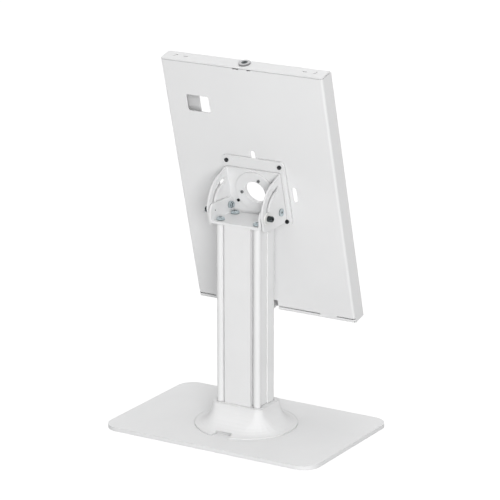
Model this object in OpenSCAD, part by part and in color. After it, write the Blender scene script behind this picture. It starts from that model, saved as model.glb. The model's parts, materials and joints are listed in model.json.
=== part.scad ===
// Countertop security kiosk stand for a tablet.
// Units are millimetres. +Z is up and the stand rests on Z = 0, under the middle of the base plate.
// The screen looks towards -Y. The bracket and the back of the enclosure face +Y.
// Everything on the tilting head is drawn upright, with its back face on Y = 0 and the swivel axis
// along Y through the origin, and is then carried to its place by head_place().

/* [Base plate] */
// Width of the steel base plate
base_w = 300; // [240:5:380]
// Depth of the steel base plate, front to back
base_d = 200; // [180:5:260]
// Thickness of the base plate
base_t = 5; // [4:0.5:8]
// Corner radius of the base plate
base_corner_r = 22; // [16:1:60]
// Radius of a rubber foot pad
pad_r = 11; // [8:1:14]
// Height of a rubber foot pad
pad_h = 1.5; // [1:0.5:3]
// Distance of each pad's centre from the plate's edges
pad_inset = 30; // [26:1:40]

/* [Post] */
// Length of the extruded post
post_len = 259.5; // [200:0.5:320]
// Spacing of the post's screws, side to side
column_dx = 52; // [46:1:56]
// Spacing of the post's screws, front to back
column_dy = 34; // [32:1:38]
// Radius of the round columns on the post's back corners
column_r = 4.75; // [4.25:0.25:5.5]
// Wall of the extrusion
post_wall = 2.2; // [1.6:0.2:3]
// How far the side faces lie inside the columns' outer line
side_recess = 2.75; // [2:0.25:4]
// How far the smooth front half lies inside the columns' outer line
front_recess = 1; // [0.5:0.25:1.25]
// Radius of the post's front corners
front_corner_r = 6.8; // [5:0.2:8]
// How far the channel floors at the back lie inside the columns' outer line
channel_depth = 6.75; // [6:0.25:8]
// Width of the raised middle band
band_w = 37; // [30:0.5:38]
// How far the raised band lies inside the columns' outer line
band_recess = 0.25; // [0:0.25:2]
// Width of the slot that lets the cable into the post
cable_slot_w = 18; // [14:1:19]
// Thickness of the snap-in cable cover
strip_t = 1.6; // [1.2:0.2:2.2]

/* [Base cover] */
// Height of the base cover
cover_h = 30; // [24:1:40]
// Radius of the cover's round foot
foot_r = 64.5; // [56:0.5:75]
// Thickness of the foot's rim
foot_rim_t = 1.6; // [1.2:0.2:2.4]
// Wall of the base cover
cover_wall = 2; // [1.6:0.2:2.6]
// Width of the rim round the post at the top of the cover
collar_rim = 5.2; // [3.4:0.2:6]
// Corner radius of the collar
collar_corner_r = 9; // [7:0.5:10]
// Width of the cable notch in the back of the foot
foot_notch_w = 22; // [16:1:26]
// Height of the cable notch
foot_notch_h = 3; // [2.4:0.1:5]
// Thickness of the knock-out web that closes the cable notch
notch_web_t = 1.2; // [0.8:0.2:1.6]
// Depth of the web behind the front edge of the notch's roof
notch_web_in = 2; // [1.6:0.2:2.4]

/* [Lower bracket] */
// Thickness of the lower bracket
yoke_t = 3; // [2.5:0.25:3.5]
// Outside width over the lower bracket's ears
yoke_w = 73; // [71:1:78]
// Reach of the lower bracket behind the post's centre
yoke_back = 27; // [26:0.5:32]
// Height of the pivot above the lower bracket's plate
pivot_h = 10.5; // [10:0.25:12]
// Radius of the ears round the pivot
yoke_ear_r = 9.5; // [8:0.25:10]

/* [Tilt bracket] */
// Lean of the screen from upright
tilt_angle = 15; // [10:1:90]
// Least lean that the curved slots allow
tilt_least = 10; // [8:1:15]
// Greatest lean that the curved slots allow
tilt_most = 90; // [80:1:92]
// Distance of the pivot in front of the post's centre
pivot_front = 16.5; // [16:0.5:18]
// Distance of the pivot behind the enclosure's back face
pivot_back = 16.5; // [16.5:0.25:20]
// Distance of the pivot below the swivel axis
pivot_drop = 17; // [15:0.25:19]
// Thickness of the tilt bracket
tilt_t = 2.5; // [2:0.25:3]
// Height of the tilt bracket's plate
tilt_h = 59; // [56:0.5:60]
// Radius of the curved slots about the pivot
slot_r = 33; // [32:0.5:34]
// Metal left outside the curved slots
slot_edge = 11.5; // [9:0.5:13]
// Gap between the two brackets' ears
ear_gap = 0.5; // [0.4:0.1:1]

/* [Swivel] */
// Radius of the cable hole through the swivel
swivel_bore_r = 14.5; // [12:0.5:15.5]
// Radius of the swivel boss that turns in the tilt bracket
boss_r = 23.5; // [23.5:0.25:24]
// Radius of the swivel ring's flange
ring_r = 27; // [26.5:0.25:27.5]
// Thickness of the swivel ring's flange
ring_t = 2; // [1.6:0.2:2.4]
// Thickness of the slip washer under the tilt bracket
slip_t = 0.6; // [0.4:0.1:1]
// Distance of the ring's screws from the swivel axis
ring_screw_pcr = 18.5; // [18:0.25:20.5]
// Distance of the stop pins from the swivel axis
stop_pcr = 31; // [30.75:0.25:31.5]
// Turn between upright and sideways
swivel_turn = 90; // [60:5:90]

/* [Mounting plate] */
// Side of the square mounting plate
plate_w = 88; // [86:0.5:94]
// Thickness of the mounting plate
plate_t = 2.5; // [2:0.25:3]
// Spacing of the mounting screws
vesa = 75; // [75:0.5:76]
// Corner radius of the mounting plate
plate_corner_r = 6; // [4:0.5:8]

/* [Enclosure] */
// Width of the enclosure
shell_w = 226; // [220:1:250]
// Height of the enclosure
shell_h = 338; // [330:1:360]
// Depth of the enclosure
shell_d = 22.5; // [21.5:0.5:27]
// Thickness of the sheet
sheet_t = 1.5; // [1.2:0.1:1.6]
// Outside radius of the long bends
bend_r = 3; // [2.5:0.1:3.4]
// How far the enclosure's middle lies below the swivel axis
shell_drop = 3; // [0:0.5:5]
// Gap between sheets that move past each other
sheet_gap = 0.3; // [0.2:0.05:0.4]
// Width of the screen opening
screen_w = 160; // [150:1:166]
// Height of the screen opening
screen_h = 228; // [215:1:234]
// Width of the camera window
window_w = 32; // [26:1:34]
// Height of the camera window
window_h = 22; // [18:1:24]
// Distance of the window's middle from the enclosure's side
window_from_side = 45; // [43:0.5:48]
// Distance of the window's middle from the enclosure's top
window_from_top = 57; // [54:0.5:62]
// Width of the cable notch in the lower edge
notch_w = 8; // [6:0.5:9]
// Height of the cable notch above the bend slots
notch_h = 8.5; // [7:0.5:11]
// Width of each bridge left between the bend slots
bridge_w = 23.5; // [18:0.5:28]
// Distance of each bridge from the middle
bridge_x = 76; // [72:0.5:84]
// Height of the bend slots above the lower edge
bend_slot_z = 5.8; // [5.2:0.1:7]

/* [Tablet] */
// Width of the bay that the foam leaves for the tablet
bay_w = 181; // [175:1:184]
// Height of the bay that the foam leaves for the tablet
bay_h = 251; // [245:1:255]
// Height of the foam blocks off the back panel
foam_t = 11; // [8:0.5:11]

/* [Lock] */
// Radius of the lock's head
lock_head_r = 7.8; // [7.5:0.1:8.4]
// Height of the lock's head
lock_head_t = 1.8; // [1.4:0.1:2.4]
// Radius of the lock's threaded barrel
lock_barrel_r = 6; // [5.7:0.1:6.3]
// Length of the lock below the cover's top wall
lock_len = 14; // [13:0.5:17]
// Radius of the plug that turns in the barrel
lock_plug_r = 4; // [3.7:0.1:4.3]
// Reach of the cam from the plug's axis
cam_len = 9.3; // [8.9:0.1:9.4]
// Width of the cam
cam_w = 6; // [5.5:0.25:6.5]

/* [Fasteners] */
// Radius of the pivot bolts
pivot_bolt_r = 2.5; // [2.4:0.1:2.8]
// Radius of the bolts in the curved slots
slot_bolt_r = 3; // [2.8:0.1:3.1]
// Radius of the screws in the post
screw_r = 2.5; // [2.3:0.1:2.6]
// Radius of the mounting screws
vesa_screw_r = 2; // [1.8:0.1:2.1]

/* [Hidden] */

$fn = 48;

// Clearances and shared amounts
run = 0.05;              // radial clearance of a shaft that turns
seat = 0.1;              // gap between clamped faces
fit_gap = 0.3;           // gap between pieces that are only fitted together
over = 1;                // extra length of a cut past the face it opens
socket_t = 1.2;          // depth of a drive recess

// Heights of the stand
plate_z = pad_h;                     // underside of the base plate
deck_z = plate_z + base_t;           // top of the base plate
post_top = deck_z + post_len;        // top of the post
yoke_top = post_top + yoke_t;        // top of the lower bracket's plate
pivot_z = yoke_top + pivot_h;        // height of the tilt axis

// Post outline
column_x = column_dx / 2;
column_y = column_dy / 2;
post_half_x = column_x + column_r;
post_half_y = column_y + column_r;
side_x = post_half_x - side_recess;          // outer face of the side walls
front_x = post_half_x - front_recess;        // outer face of the smooth front half
front_step_y = -2.1;                         // where the front half begins
floor_y = post_half_y - channel_depth;       // outer face of the channel floors
band_y = post_half_y - band_recess;          // outer face of the raised band
strip_leg_t = 1.5;                           // thickness of the strip's snap legs
strip_barb = 0.9;                            // reach of the snap legs' barbs
strip_leg_in = 3;                            // length of the legs inside the post wall
strip_lift = 20;                             // the strip ends above the cable's way out

// Fastener heads
flat_head_r = 2 * screw_r;
flat_head_t = 1.1 * screw_r;
pan_head_r = 2.1 * screw_r;
pan_head_t = 1.5 * screw_r;
base_screw_len = 20;
bracket_screw_len = 16;
cap_head_r = 1.22 * slot_bolt_r;
cap_head_t = 2.1 * slot_bolt_r;
pivot_head_r = 1.9 * pivot_bolt_r;
pivot_head_t = 0.6 * pivot_bolt_r;
pivot_nut_r = 1.85 * pivot_bolt_r;
pivot_nut_t = 2 * pivot_bolt_r;
slot_washer_r = 2.6 * slot_bolt_r;
slot_washer_t = 1.6;
slot_bolt_in = 2;                            // length of the slot bolts' hold in the lower bracket
pilot_r = 1.3;                               // pilot hole through the rest of that ear

// Lower bracket
yoke_in_x = yoke_w / 2 - yoke_t;             // inner face of its ears
yoke_out_x = yoke_w / 2;
yoke_front = pivot_front + yoke_ear_r;
yoke_bend = yoke_t + 1;                      // outside radius of its bends

// Tilt bracket, drawn on the head
tilt_in_x = yoke_out_x + ear_gap;
tilt_out_x = tilt_in_x + tilt_t;
tilt_bend = tilt_t + 0.8;                    // outside radius of its bends
tilt_y = plate_t + slip_t;                   // front face of its plate
tilt_back_y = tilt_y + tilt_t;               // back face of its plate
slot_half = slot_bolt_r + 0.25;                 // half width of the curved slots
ear_r = slot_r + slot_edge;                  // outer edge of the ears about the pivot
ear_flat = slot_r + 9;                       // where the arc is cut off below the slot
ear_tip_r = 6;                               // rounding of the lower tip

// Swivel stack
ring_y = tilt_back_y + run;                  // front face of the ring's flange
ring_back_y = ring_y + ring_t;
pass_r = swivel_bore_r + 2.5;                // cable hole in the sheets behind the ring
ring_screw_r = 1.25;
ring_head_r = 1.9;
ring_head_t = 1.4;
ring_screws_n = 3;
ring_screw_a0 = 115;                         // place of the first ring screw
stop_r = 1.5;
stop_head_r = 1.9;
stop_head_t = 1.2;
stop_a0 = 150;                               // place of the first stop pin

// Mounting screws
vesa_head_r = 1.3 * vesa_screw_r;
vesa_head_t = 0.9 * vesa_screw_r;
insert_r = 2 * vesa_screw_r;
insert_t = 3;

// Enclosure, drawn about its own middle and lowered by shell_drop
half_w = shell_w / 2;
half_h = shell_h / 2;
inner_bend = bend_r - sheet_t;
wall_in = half_w - sheet_t;                  // inner face of the side walls
cover_half = wall_in - sheet_gap;            // half width of the front cover
roof_z = half_h - sheet_t;                   // underside of the cover's top wall
shell_top = roof_z - sheet_gap;              // top of the back shell
sill_z = -half_h + sheet_t;                  // inner face of the bottom wall
cover_low = sill_z + sheet_gap;              // lower edge of the front cover
front_y = -shell_d;                          // front face of the enclosure
bezel_y = front_y + sheet_t;                 // back face of the bezel
flange_y = bezel_y + 8;                      // edge of the cover's side flanges
flange_end = 14;                             // side flanges stop this far from the ends
slot_cut = 1.4;                              // width of the bend slots
notch_depth = 6;                             // reach of the cable notch into the bottom wall
side_slot = [6.5, 20.5];
side_slot_x = 52.1;
end_slot = [6.5, 13];
end_slot_z = 47.1;
hook_w = 16;
hook_reach = 10;
hook_slot = 4;                               // length of the slot that a hook drops through
roof_slot = [6.4, 1.8];
roof_slot_x1 = half_w - 29.6;
roof_slot_x2 = half_w - 15.2;
roof_slot_a = 55;                            // lean of the outer roof slots
roof_corner_r = 3;
relief_1 = [6.6, 8.6];                       // middle and width of the first relief by the lock
relief_2 = [-11.3, 5];                       // middle and width of the second relief
relief_t = 1.2;

// Lock, on the cover's top wall
lock_y = -shell_d / 2 - 0.75;
lock_low = roof_z - lock_len;                // lower end of the barrel
lock_wash_t = 0.8;
lock_nut_t = 3;
lock_nut_r = 1.35 * lock_barrel_r;
cam_t = 2;
tail_w = 4.6;                                // square tail that carries the cam
tail_len = cam_t + 0.3;
cam_screw_r = 1.2;
cam_head_r = 3;
cam_head_t = 1.6;
cam_z = lock_low - seat;                     // top of the cam
keyway = [1.2, 5];
keyway_t = 3;
keeper_t = 1.5;
keeper_x = cam_len + 1.2;                    // inner face of the keeper's stem
keeper_lip_x = cam_w / 2 + 2.4;              // free edge of the keeper's lip
keeper_lip_y = lock_y - cam_w / 2 - 0.5;     // back face of the keeper's lip
keeper_top = lock_low - 0.5;
keeper_h = 6.5;
keeper_foot = 9;

// Flat shapes

// Rectangle with round corners
module rounded_rect(w, h, r) {
    square([w - 2 * r, h], center = true);
    square([w, h - 2 * r], center = true);
    for (sx = [-1, 1], sy = [-1, 1])
        translate([sx * (w / 2 - r), sy * (h / 2 - r)]) circle(r);
}

// Straight slot with round ends, its longer side along its own direction
module slot_2d(w, h) {
    r = min(w, h) / 2;
    rounded_rect(w, h, r - 0.01);
}

// Bent sheet seen from its end: a web on Y = 0 and two walls that run to -depth
module channel_2d(w, depth, t, r) {
    difference() {
        union() {
            translate([-w / 2, -depth]) square([w, depth - r]);
            translate([-w / 2 + r, -r]) square([w - 2 * r, r]);
            for (s = [-1, 1]) translate([s * (w / 2 - r), -r]) circle(r);
        }
        translate([-w / 2 + t, -depth - over]) square([w - 2 * t, depth + over - r]);
        translate([-w / 2 + r, -r - over]) square([w - 2 * r, r + over - t]);
        for (s = [-1, 1]) translate([s * (w / 2 - r), -r]) circle(r - t);
    }
}

// Six-sided outline, corner radius r
module hex_2d(r) {
    circle(r, $fn = 6);
}

// Extrudes a flat shape drawn in (Y, Z) along X, from x0 to x1
module along_x(x0, x1) {
    translate([x0, 0, 0]) rotate([90, 0, 90]) linear_extrude(x1 - x0) children();
}

// Extrudes a flat shape drawn in (X, Z) along Y, from y0 to y1
module along_y(y0, y1) {
    translate([0, y1, 0]) rotate([90, 0, 0]) linear_extrude(y1 - y0) children();
}

// Round bar along X between two places
module bar_x(x0, x1, r) {
    translate([x0, 0, 0]) rotate([0, 90, 0]) cylinder(h = x1 - x0, r = r);
}

// Round bar along Y between two places
module bar_y(y0, y1, r) {
    translate([0, y0, 0]) rotate([-90, 0, 0]) cylinder(h = y1 - y0, r = r);
}

// Cross recess cut down into a screw head whose top is on Z = 0
module cross_recess(size) {
    for (a = [0, 90]) rotate([0, 0, a]) translate([0, 0, -socket_t / 2 + over / 2])
        cube([size, size / 4, socket_t + over], center = true);
}

// Places

// The axes of the post's four screws
module at_columns() {
    for (sx = [-1, 1], sy = [-1, 1]) translate([sx * column_x, sy * column_y, 0]) children();
}

// The same piece on both sides, drawn on the +X side
module both_sides() {
    children();
    mirror([1, 0, 0]) children();
}

// Moves the upright head to its place on the pivot, leaning by tilt_angle
module head_place() {
    translate([0, -pivot_front, pivot_z]) rotate([-tilt_angle, 0, 0])
        translate([0, -pivot_back, pivot_drop]) children();
}

// The tilt axis, which runs along X
module at_pivot() {
    translate([0, -pivot_front, pivot_z]) children();
}

// The axis of the two bolts that clamp the curved slots
module at_slot_bolt() {
    translate([0, slot_r - pivot_front, pivot_z]) children();
}

// The enclosure's own middle
module shell_place() {
    head_place() translate([0, 0, -shell_drop]) children();
}

// The lock's axis, with Z = 0 on the outside of the cover's top wall
module lock_place() {
    shell_place() translate([0, lock_y, 0]) children();
}

// The four mounting screw axes on the head
module at_vesa() {
    for (sx = [-1, 1], sz = [-1, 1]) translate([sx * vesa / 2, 0, sz * vesa / 2]) children();
}

// Stand

module base_pads() {
    color("dimgray")
    for (sx = [-1, 1], sy = [-1, 1])
        translate([sx * (base_w / 2 - pad_inset), sy * (base_d / 2 - pad_inset), 0])
            cylinder(h = pad_h, r = pad_r);
}

module base_plate() {
    color("whitesmoke")
    difference() {
        translate([0, 0, plate_z]) linear_extrude(base_t) rounded_rect(base_w, base_d, base_corner_r);
        at_columns() translate([0, 0, plate_z - over]) cylinder(h = base_t + 2 * over, r = screw_r + 0.15);
        at_columns() translate([0, 0, plate_z])
            cylinder(h = flat_head_t + 0.1, r1 = flat_head_r + 0.15, r2 = screw_r + 0.15);
    }
}

module post_base_screws() {
    color("silver")
    at_columns() difference() {
        union() {
            translate([0, 0, plate_z]) cylinder(h = base_screw_len, r = screw_r);
            translate([0, 0, plate_z]) cylinder(h = flat_head_t, r1 = flat_head_r, r2 = screw_r);
        }
        translate([0, 0, plate_z]) mirror([0, 0, 1]) cross_recess(1.1 * flat_head_r);
    }
}

// Outline of the smooth front half of the post, wider by the gap, with its corners rounded
module post_front_2d(gap) {
    depth = post_half_y + front_step_y;
    intersection() {
        translate([0, front_step_y])
            rounded_rect(2 * (front_x + gap), 2 * (depth + gap), front_corner_r);
        translate([-front_x - over, -post_half_y - over]) square([2 * (front_x + over), depth + over + gap]);
    }
}

// Outline of the whole post without the band at the back
module post_outline_2d(gap) {
    outer = side_x + gap;
    inner = column_x - column_r - gap;
    low = front_step_y - over;
    translate([-outer, low]) square([2 * outer, floor_y + gap - low]);
    translate([-outer, 0]) square([outer - inner, column_y]);
    translate([inner, 0]) square([outer - inner, column_y]);
    for (s = [-1, 1]) translate([s * column_x, column_y]) circle(column_r + gap);
    post_front_2d(gap);
}

module post_2d() {
    hollow_x = side_x - post_wall;
    hollow_low = -post_half_y + post_wall;
    difference() {
        union() {
            difference() {
                post_outline_2d(0);
                translate([-hollow_x, hollow_low]) square([2 * hollow_x, floor_y - post_wall - hollow_low]);
            }
            for (s = [-1, 1]) translate([s * column_x, column_y]) circle(column_r);
            intersection() {
                at_columns() circle(column_r);
                post_front_2d(0);
            }
        }
        translate([-cable_slot_w / 2, 0]) square([cable_slot_w, floor_y + over]);
        at_columns() circle(screw_r + run);
    }
}

module post() {
    color("white")
    translate([0, 0, deck_z]) linear_extrude(post_len) post_2d();
}

// Snap-in strip that closes the cable slot and forms the raised band at the back
module cable_cover_2d() {
    half = band_w / 2;
    leg_x = cable_slot_w / 2 - 0.2;
    barb_h = strip_leg_in - post_wall - seat;
    translate([-half, band_y - strip_t]) square([band_w, strip_t]);
    for (m = [0, 1]) mirror([m, 0]) {
        translate([half - strip_t, floor_y + seat]) square([strip_t, band_y - floor_y - seat]);
        translate([leg_x - strip_leg_t, floor_y - strip_leg_in])
            square([strip_leg_t, band_y - 0.5 - floor_y + strip_leg_in]);
        translate([leg_x - 0.5, floor_y - strip_leg_in])
            polygon([[0, 0], [0.5, 0], [0.5 + strip_barb, barb_h], [0, barb_h]]);
    }
}

module cable_cover() {
    color("white")
    translate([0, 0, deck_z + strip_lift]) linear_extrude(post_len - strip_lift) cable_cover_2d();
}

// Outline of the post that the base cover fits round
module post_hole_2d(gap) {
    post_outline_2d(gap);
    translate([-band_w / 2 - gap, 0]) square([band_w + 2 * gap, band_y + gap]);
}

// The base cover flares from a rounded rectangle round the post to a round foot. At flare g, from
// 0 at the collar to 1 at the foot, the level's straight sides shrink and its corners grow, which
// leaves a flat shield on each side that narrows downwards.
cover_top = deck_z + cover_h;
foot_top = deck_z + foot_rim_t;
collar_x = post_half_x + collar_rim;
collar_y = post_half_y + collar_rim;
flare_steps = 9;
corner_steps = 7;

// The notch's roof ends where the flare comes down to the notch's height
notch_sin = 1 - (foot_notch_h - foot_rim_t) / (cover_h - foot_rim_t);
notch_cos = sqrt(1 - notch_sin * notch_sin);
notch_web_y = collar_y * notch_cos + foot_r * (1 - notch_cos) - notch_web_in;   // the web's outer face

function flare(i) = 1 - cos(90 * i / flare_steps);
function flare_z(i) = foot_top + (cover_top - foot_top) * (1 - sin(90 * i / flare_steps));

// One level of the flare: points of a rounded rectangle, counter-clockwise
function level(g, inset, z) = let (
    cx = (collar_x - collar_corner_r) * (1 - g),
    cy = (collar_y - collar_corner_r) * (1 - g),
    r = collar_corner_r * (1 - g) + foot_r * g - inset)
    [for (q = [0:3], k = [0:corner_steps]) let (
        a = 90 * q + 90 * k / corner_steps,
        sx = (q == 0 || q == 3) ? 1 : -1,
        sy = (q < 2) ? 1 : -1)
        [sx * (cx + 0.05) + r * cos(a), sy * (cy + 0.05) + r * sin(a), z]];

// Closed skin over a stack of levels
module levels_solid(stack) {
    n = len(stack[0]);
    m = len(stack);
    points = [for (l = stack) for (p = l) p];
    sides = [for (i = [0:m - 2], k = [0:n - 1]) let (a = i * n + k, b = i * n + (k + 1) % n)
        each [[a, b + n, b], [a, a + n, b + n]]];
    low = [for (k = [0:n - 1]) k];
    high = [for (k = [n - 1:-1:0]) (m - 1) * n + k];
    polyhedron(points, concat([low], sides, [high]));
}

module flare_solid(inset, drop, z_low, z_high) {
    rim = level(1, inset, z_low);
    body = [for (i = [flare_steps:-1:0]) level(flare(i), inset, min(flare_z(i) - drop, z_high - drop))];
    levels_solid(concat([rim], body));
}

module base_cover() {
    hollow_low = deck_z - 2 * cover_wall;
    lap = 0.3;
    color("whitesmoke") {
        difference() {
            flare_solid(0, 0, deck_z, cover_top);
            flare_solid(cover_wall, cover_wall, hollow_low, cover_top);
            translate([0, 0, deck_z]) linear_extrude(cover_h + over) post_hole_2d(fit_gap);
            translate([-foot_notch_w / 2, post_half_y + collar_rim, deck_z - over])
                cube([foot_notch_w, foot_r, foot_notch_h + over]);
        }
        translate([-foot_notch_w / 2 - lap, notch_web_y - notch_web_t, deck_z])
            cube([foot_notch_w + 2 * lap, notch_web_t, foot_notch_h + lap]);
    }
}

// Side view of the lower bracket's ears, in (Y, Z)
module yoke_ear_2d() {
    top = pivot_z + yoke_ear_r;
    back_r = yoke_ear_r - 1;
    translate([-yoke_front, post_top]) square([yoke_front + yoke_back, pivot_z - post_top]);
    translate([-pivot_front, pivot_z]) circle(yoke_ear_r);
    translate([-pivot_front, post_top]) square([pivot_front + yoke_back - back_r, top - post_top]);
    translate([yoke_back - back_r, top - back_r]) circle(back_r);
    translate([0, post_top]) square([yoke_back, top - back_r - post_top]);
}

module lower_bracket() {
    color("whitesmoke")
    difference() {
        intersection() {
            translate([0, 0, post_top]) along_y(-yoke_front, yoke_back)
                mirror([0, 1]) channel_2d(yoke_w, pivot_h + yoke_t + yoke_ear_r + over, yoke_t, yoke_bend);
            along_x(-yoke_w, yoke_w) yoke_ear_2d();
        }
        at_columns() translate([0, 0, post_top - over]) cylinder(h = yoke_t + 2 * over, r = screw_r + 0.25);
        translate([0, -pivot_front, pivot_z]) bar_x(-yoke_w, yoke_w, pivot_bolt_r + run);
        at_slot_bolt() bar_x(-yoke_w, yoke_w, pilot_r);
        at_slot_bolt() both_sides() bar_x(yoke_out_x - slot_bolt_in - seat, yoke_w, slot_bolt_r + run);
    }
}

module bracket_screws() {
    color("silver")
    at_columns() translate([0, 0, yoke_top]) difference() {
        union() {
            translate([0, 0, -bracket_screw_len]) cylinder(h = bracket_screw_len, r = screw_r);
            cylinder(h = pan_head_t * 0.6, r = pan_head_r);
            translate([0, 0, pan_head_t * 0.6])
                cylinder(h = pan_head_t * 0.4, r1 = pan_head_r, r2 = pan_head_r * 0.7);
        }
        translate([0, 0, pan_head_t]) cross_recess(pan_head_r);
    }
}

module pivot_bolts() {
    inner = yoke_in_x - seat - pivot_nut_t - 1;
    color("dimgray")
    at_pivot() both_sides() difference() {
        union() {
            bar_x(inner, tilt_out_x + seat, pivot_bolt_r);
            bar_x(tilt_out_x + seat, tilt_out_x + seat + pivot_head_t, pivot_head_r);
        }
        along_x(tilt_out_x + seat + pivot_head_t - socket_t, tilt_out_x + pivot_head_t + over)
            hex_2d(0.65 * pivot_bolt_r);
    }
}

module pivot_nuts() {
    color("silver")
    at_pivot() both_sides() difference() {
        union() {
            along_x(yoke_in_x - seat - pivot_nut_t * 0.7, yoke_in_x - seat) hex_2d(pivot_nut_r);
            bar_x(yoke_in_x - seat - pivot_nut_t, yoke_in_x - seat - pivot_nut_t * 0.7, pivot_nut_r * 0.8);
        }
        bar_x(0, yoke_w, pivot_bolt_r + run);
    }
}

module pivot_washers() {
    slack = 0.04;
    color("white")
    at_pivot() both_sides() difference() {
        bar_x(yoke_out_x + slack, tilt_in_x - slack, yoke_ear_r - 0.7);
        bar_x(0, yoke_w, pivot_bolt_r + run);
    }
}

module slot_bolts() {
    head = tilt_out_x + 2 * seat + slot_washer_t;
    head_edge = 0.6;
    color("dimgray")
    at_slot_bolt() both_sides() difference() {
        union() {
            bar_x(yoke_out_x - slot_bolt_in, head + cap_head_t / 2, slot_bolt_r);
            bar_x(head, head + cap_head_t - head_edge, cap_head_r);
            translate([head + cap_head_t - head_edge, 0, 0]) rotate([0, 90, 0])
                cylinder(h = head_edge, r1 = cap_head_r, r2 = cap_head_r - head_edge);
        }
        along_x(head + cap_head_t - 2 * socket_t, head + cap_head_t + over) hex_2d(0.8 * slot_bolt_r);
    }
}

module slot_washers() {
    color("white")
    at_slot_bolt() both_sides() difference() {
        bar_x(tilt_out_x + seat, tilt_out_x + seat + slot_washer_t, slot_washer_r);
        bar_x(0, yoke_w, slot_bolt_r + run);
    }
}

// Tilting head

// Side view of the tilt bracket on the upright head, in (Y, Z). Each ear is an arc about the
// pivot, cut off short of the full circle, with a rounded tip and a slanted lower edge.
module tilt_side_2d() {
    low = -tilt_h / 2;
    flat_y = pivot_back + ear_flat;
    tip = [flat_y - ear_tip_r, low + ear_tip_r + 4];
    heel = [pivot_back - 3.5, low - 5];
    intersection() {
        translate([pivot_back, -pivot_drop]) circle(ear_r, $fn = 144);
        polygon(concat(
            [[tilt_y + 1, low + 1], heel],
            [for (a = [-76:13:0]) tip + ear_tip_r * [cos(a), sin(a)]],
            [[flat_y, ear_r], [tilt_y + 1, ear_r]]));
    }
    polygon([[tilt_y, low], [tilt_back_y + 1, low], heel, [pivot_back, 0],
             [pivot_back, ear_r - pivot_drop], [tilt_back_y + 3, tilt_h / 2], [tilt_y, tilt_h / 2]]);
}

// Curved slot about the pivot, from the least lean to the greatest
module arc_slot_2d() {
    far = 2 * slot_r;
    spread = 0.6;
    a0 = tilt_least - spread;
    a1 = tilt_most + spread;
    mid = (a0 + a1) / 2;
    translate([pivot_back, -pivot_drop]) {
        intersection() {
            difference() {
                circle(slot_r + slot_half, $fn = 96);
                circle(slot_r - slot_half, $fn = 96);
            }
            polygon([[0, 0], far * [cos(a0), sin(a0)], far * [cos(mid), sin(mid)] * 1.4,
                     far * [cos(a1), sin(a1)]]);
        }
        for (a = [a0, a1]) translate(slot_r * [cos(a), sin(a)]) circle(slot_half);
    }
}

module tilt_bracket() {
    color("whitesmoke")
    head_place() difference() {
        intersection() {
            translate([0, tilt_y, -2 * ear_r]) linear_extrude(4 * ear_r)
                mirror([0, 1]) channel_2d(2 * tilt_out_x, pivot_back + ear_r, tilt_t, tilt_bend);
            along_x(-tilt_out_x - over, tilt_out_x + over) tilt_side_2d();
        }
        bar_y(0, pivot_back, boss_r + run);
        for (k = [0, 1]) rotate([0, -stop_a0 - 180 * k, 0]) translate([stop_pcr, 0, 0])
            bar_y(0, pivot_back, stop_r + run);
        translate([0, pivot_back, -pivot_drop]) bar_x(-yoke_w, yoke_w, pivot_bolt_r + run);
        along_x(-yoke_w, yoke_w) arc_slot_2d();
    }
}

module stop_pins() {
    color("gray")
    head_place() for (k = [0, 1]) rotate([0, -stop_a0 - 180 * k, 0]) translate([stop_pcr, 0, 0]) {
        bar_y(0.3, tilt_back_y + seat, stop_r);
        bar_y(tilt_back_y + seat, tilt_back_y + seat + stop_head_t, stop_head_r);
    }
}

module swivel_washer() {
    slack = 0.03;
    color("white")
    head_place() difference() {
        bar_y(plate_t + slack, tilt_y - slack, ring_r + 1);
        bar_y(0, tilt_y + over, boss_r + 0.2);
    }
}

module at_ring_screws() {
    for (k = [0:ring_screws_n - 1])
        rotate([0, -ring_screw_a0 - 360 / ring_screws_n * k, 0])
            translate([ring_screw_pcr, 0, 0]) children();
}

module swivel_ring() {
    color("whitesmoke")
    head_place() difference() {
        union() {
            bar_y(plate_t, ring_y + ring_t / 2, boss_r);
            bar_y(ring_y, ring_back_y, ring_r);
        }
        bar_y(0, pivot_back, swivel_bore_r);
        at_ring_screws() bar_y(0, pivot_back, ring_screw_r + run);
    }
}

module ring_screws() {
    color("silver")
    head_place() at_ring_screws() difference() {
        union() {
            bar_y(0.4, ring_back_y, ring_screw_r);
            bar_y(ring_back_y, ring_back_y + ring_head_t, ring_head_r);
        }
        translate([0, ring_back_y + ring_head_t, 0]) rotate([-90, 0, 0]) cross_recess(ring_head_r);
    }
}

module vesa_plate() {
    reach = stop_r + 0.2;
    color("whitesmoke")
    head_place() difference() {
        along_y(0, plate_t) rounded_rect(plate_w, plate_w, plate_corner_r);
        bar_y(-over, plate_t + over, pass_r);
        at_vesa() bar_y(-over, plate_t + over, vesa_screw_r + 0.2);
        at_ring_screws() bar_y(-over, plate_t + over, ring_screw_r + run);
        for (k = [0, 1]) rotate([0, -stop_a0 - 180 * k, 0])
            along_y(-over, plate_t + over) stop_track_2d(reach);
    }
}

// Curved track that a stop pin runs in, drawn from the pin's own place
module stop_track_2d(reach) {
    far = 2 * stop_pcr;
    turn = swivel_turn;
    intersection() {
        difference() {
            circle(stop_pcr + reach, $fn = 96);
            circle(stop_pcr - reach, $fn = 96);
        }
        polygon([[0, 0], [far, 0], far * 1.4 * [cos(turn / 2), sin(turn / 2)],
                 far * [cos(turn), sin(turn)]]);
    }
    for (a = [0, turn]) translate(stop_pcr * [cos(a), sin(a)]) circle(reach);
}

module vesa_screws() {
    color("dimgray")
    head_place() at_vesa() difference() {
        union() {
            bar_y(-sheet_t - insert_t - 0.5, plate_t, vesa_screw_r);
            bar_y(plate_t, plate_t + vesa_head_t, vesa_head_r);
        }
        translate([0, plate_t + vesa_head_t, 0]) rotate([-90, 0, 0]) cross_recess(vesa_head_r);
    }
}

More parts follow.
